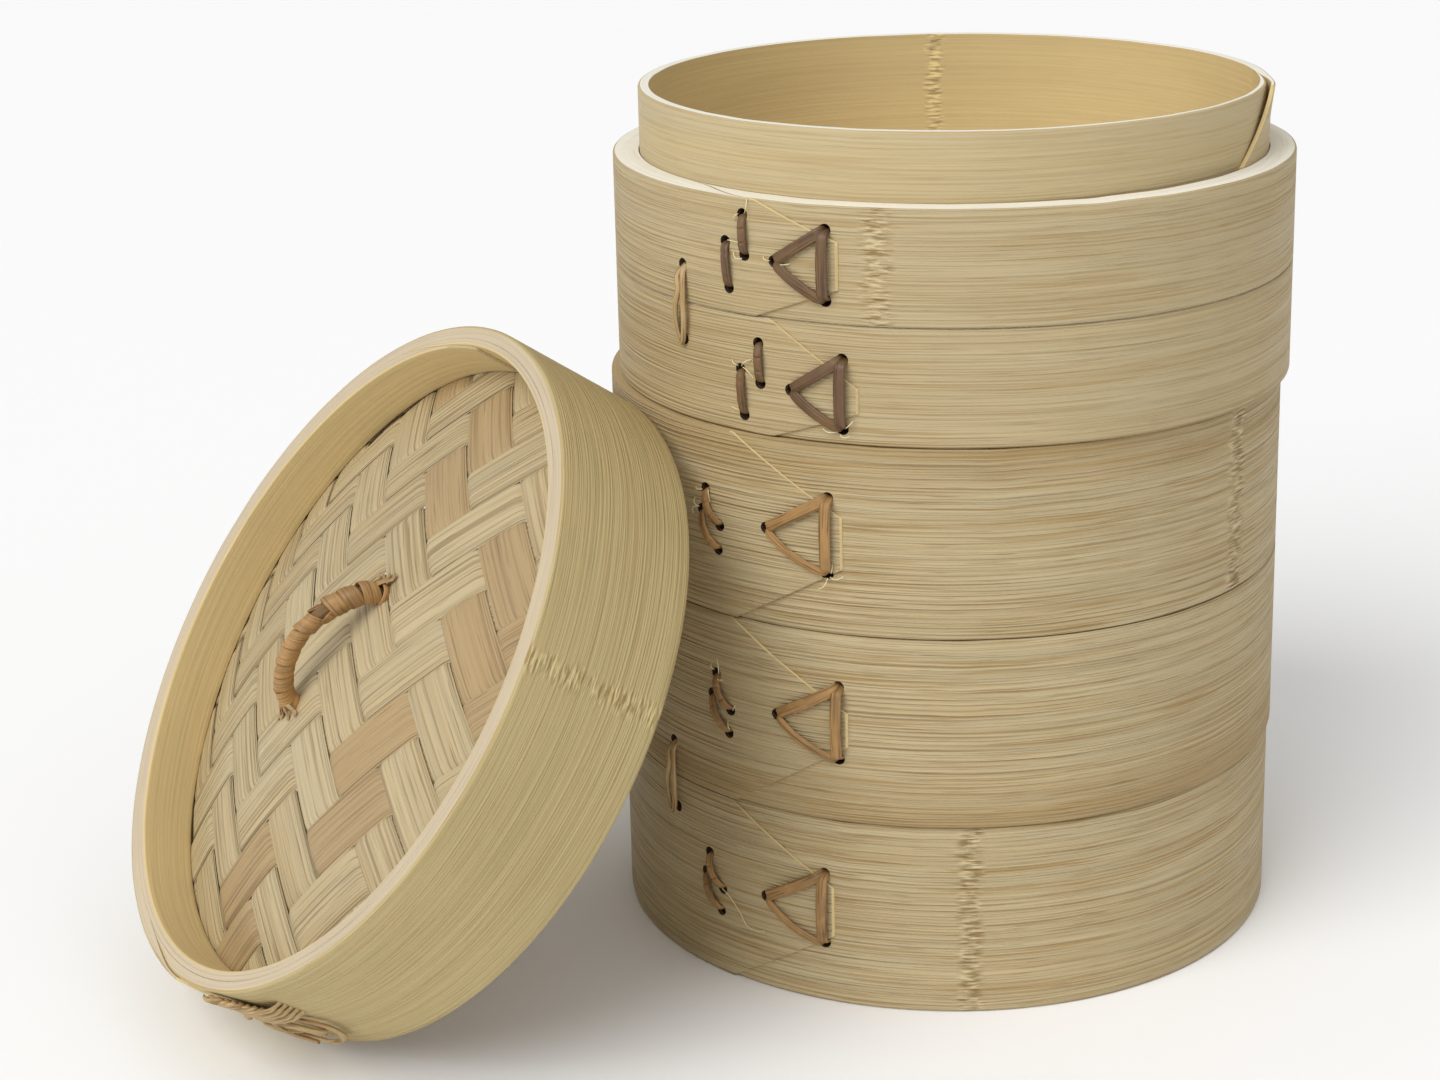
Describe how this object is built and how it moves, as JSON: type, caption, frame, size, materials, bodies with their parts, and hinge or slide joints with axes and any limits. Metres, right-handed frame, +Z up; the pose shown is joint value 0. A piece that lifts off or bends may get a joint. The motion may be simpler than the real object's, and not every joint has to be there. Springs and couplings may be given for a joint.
{
  "type": "bamboo steamer basket",
  "caption": "Round bamboo steamer basket: nesting slatted tiers bound with rattan, and a domed woven lid with an arched grip that leans beside them.",
  "frame": {"origin": "on the table, under the centre of the box round the stack and the leaning lid", "axes": "+Z up; +X from the leaning lid towards the stack; -Y is the side the lacings and the lid's woven face look to"},
  "size_m": [0.346, 0.2732, 0.2507],
  "materials": {
    "bamboo_hoop": "split bamboo, fine grain round the hoop, unvarnished satin",
    "bamboo_ring": "shaved bamboo, smooth, yellow-tan",
    "bamboo_slat": "planed bamboo slat, unvarnished",
    "bamboo_weave": "woven split bamboo, ribbed along each strip",
    "rattan": "stripped rattan, slightly glossy, darker in its grooves"
  },
  "bodies": {
    "base_tier": {"base_crossbar_1": "bamboo_slat", "base_crossbar_2": "bamboo_slat", "base_floor_ring": "bamboo_ring", "base_hoop_1": "bamboo_hoop", "base_hoop_2": "bamboo_hoop", "base_hoop_3": "bamboo_hoop", "base_inner_ring_1": "bamboo_ring", "base_inner_ring_2": "bamboo_ring", "base_inner_ring_3": "bamboo_ring", "base_lacing_1": "rattan", "base_lacing_2": "rattan", "base_lacing_3": "rattan", "base_seam_tie_1": "rattan", "base_seam_tie_2": "rattan", "base_slat_1": "bamboo_slat", "base_slat_2": "bamboo_slat", "base_slat_3": "bamboo_slat", "base_slat_4": "bamboo_slat", "base_slat_5": "bamboo_slat", "base_slat_6": "bamboo_slat", "base_slat_7": "bamboo_slat", "base_slat_8": "bamboo_slat", "base_slat_9": "bamboo_slat", "base_stitch_1_1": "rattan", "base_stitch_1_2": "rattan", "base_stitch_2_1": "rattan", "base_stitch_2_2": "rattan", "base_stitch_3_1": "rattan", "base_stitch_3_2": "rattan"},
    "top_tier": {"top_crossbar_1": "bamboo_slat", "top_crossbar_2": "bamboo_slat", "top_floor_ring": "bamboo_ring", "top_hoop_1": "bamboo_hoop", "top_hoop_2": "bamboo_hoop", "top_inner_ring_1": "bamboo_ring", "top_lacing_1": "rattan", "top_lacing_2": "rattan", "top_seam_tie_1": "rattan", "top_slat_1": "bamboo_slat", "top_slat_2": "bamboo_slat", "top_slat_3": "bamboo_slat", "top_slat_4": "bamboo_slat", "top_slat_5": "bamboo_slat", "top_slat_6": "bamboo_slat", "top_slat_7": "bamboo_slat", "top_slat_8": "bamboo_slat", "top_slat_9": "bamboo_slat", "top_stitch_1_1": "rattan", "top_stitch_1_2": "rattan", "top_stitch_2_1": "rattan", "top_stitch_2_2": "rattan"},
    "lid": {"lid_clamp_ring": "bamboo_ring", "lid_handle": "rattan", "lid_handle_bar": "bamboo_slat", "lid_hoop": "bamboo_hoop", "lid_lacing": "rattan", "lid_seat_ring": "bamboo_ring", "lid_weave": "bamboo_weave"}
  },
  "joints": [
    {"name": "top_tier_lift", "type": "slide", "parent": "base_tier", "child": "top_tier", "axis": [0, 0, 1], "range_m": [0, 0.06]},
    {"name": "lid_lift", "type": "slide", "parent": "base_tier", "child": "lid", "axis": [-0.7183, -0.408, 0.5635], "range_m": [0, 0.1]}
  ]
}
